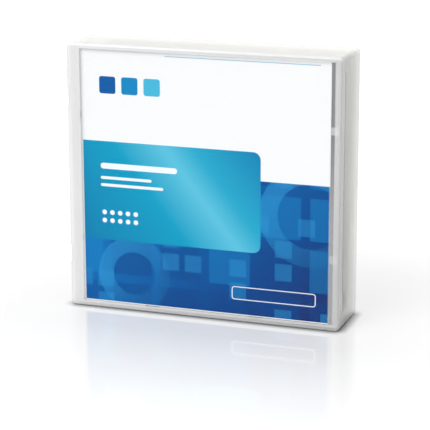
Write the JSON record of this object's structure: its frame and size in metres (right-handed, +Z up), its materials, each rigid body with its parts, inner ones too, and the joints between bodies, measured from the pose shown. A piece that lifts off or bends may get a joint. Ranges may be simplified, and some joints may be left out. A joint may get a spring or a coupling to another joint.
{
  "type": "boxed data tape cartridge",
  "caption": "Square data tape cartridge with an internal reel, standing in its clear hinged plastic case behind a printed insert card.",
  "frame": {"origin": "middle of the bottom face of the closed case, which stands upright", "axes": "+Z up, +X to the opening edge of the case with the hinge at -X, -Y towards the printed front"},
  "size_m": [0.1144, 0.0264, 0.109],
  "materials": {
    "clear_polypropylene": "clear milky, soft gloss",
    "clear_polypropylene_lid": "clear milky, gloss",
    "printed_card": "coated print, satin",
    "black_shell": "fine moulded texture",
    "black_shell_top": "fine moulded texture",
    "zinc_screw": "zinc plated",
    "reel_plastic": "moulded, light grey",
    "flange_plastic": "moulded, light grey",
    "tape": "wound film, dark brown",
    "steel_plate": "plated, pressed",
    "pad_plastic": "white acetal",
    "brake_plastic": "off-white acetal",
    "spring_wire": "drawn wire",
    "pin_steel": "ground",
    "clip_plastic": "moulded",
    "tape_film": "film, dark brown",
    "spring_leaf": "rolled strip",
    "door_plastic": "moulded, dark grey",
    "door_spring_wire": "drawn wire",
    "tab_plastic": "moulded, dark grey",
    "chip_board": "board with moulded chip"
  },
  "bodies": {
    "case": {"case_tray": "clear_polypropylene", "cartridge_bottom_shell": "black_shell", "cartridge_top_shell": "black_shell_top", "shell_screws": "zinc_screw", "brake_spring": "spring_wire", "door_spring": "door_spring_wire", "leader_pin": "pin_steel", "tape_clip": "clip_plastic", "tape_lead": "tape_film", "pin_spring": "spring_leaf", "memory_chip": "chip_board"},
    "lid": {"case_lid": "clear_polypropylene_lid", "insert_card": "printed_card"},
    "reel": {"reel_hub": "reel_plastic", "upper_flange": "flange_plastic", "tape_pack": "tape", "clutch_plate": "steel_plate"},
    "release": {"release_pad": "pad_plastic"},
    "brake": {"brake_button": "brake_plastic"},
    "door": {"slide_door": "door_plastic"},
    "protect_tab": {"write_protect_tab": "tab_plastic"}
  },
  "joints": [
    {"name": "lid_hinge", "type": "hinge", "parent": "case", "child": "lid", "pos_m": [-0.0557, -0.00885, 0.0545], "axis": [0, 0, -1], "range_deg": [0, 150]},
    {"name": "reel_spin", "type": "hinge", "parent": "case", "child": "reel", "pos_m": [0.0032, 0.01075, 0.0547], "axis": [0, -1, 0], "continuous": true},
    {"name": "brake_lift", "type": "slide", "parent": "case", "child": "brake", "axis": [0, -1, 0], "range_m": [0, 0.0018], "stiffness_N_per_m": 300, "springref_m": -0.002, "deforming": ["brake_spring"]},
    {"name": "release_lift", "type": "slide", "parent": "reel", "child": "release", "axis": [0, -1, 0], "range_m": [0, 0.0018]},
    {"name": "door_slide", "type": "slide", "parent": "case", "child": "door", "axis": [1, 0, 0], "range_m": [0, 0.013], "stiffness_N_per_m": 30, "springref_m": -0.004, "deforming": ["door_spring"]},
    {"name": "write_protect_slide", "type": "slide", "parent": "case", "child": "protect_tab", "axis": [0, 0, 1], "range_m": [0, 0.004]}
  ],
  "couplings": [
    {"joint": "release_lift", "follows": "brake_lift", "ratio": 1}
  ]
}
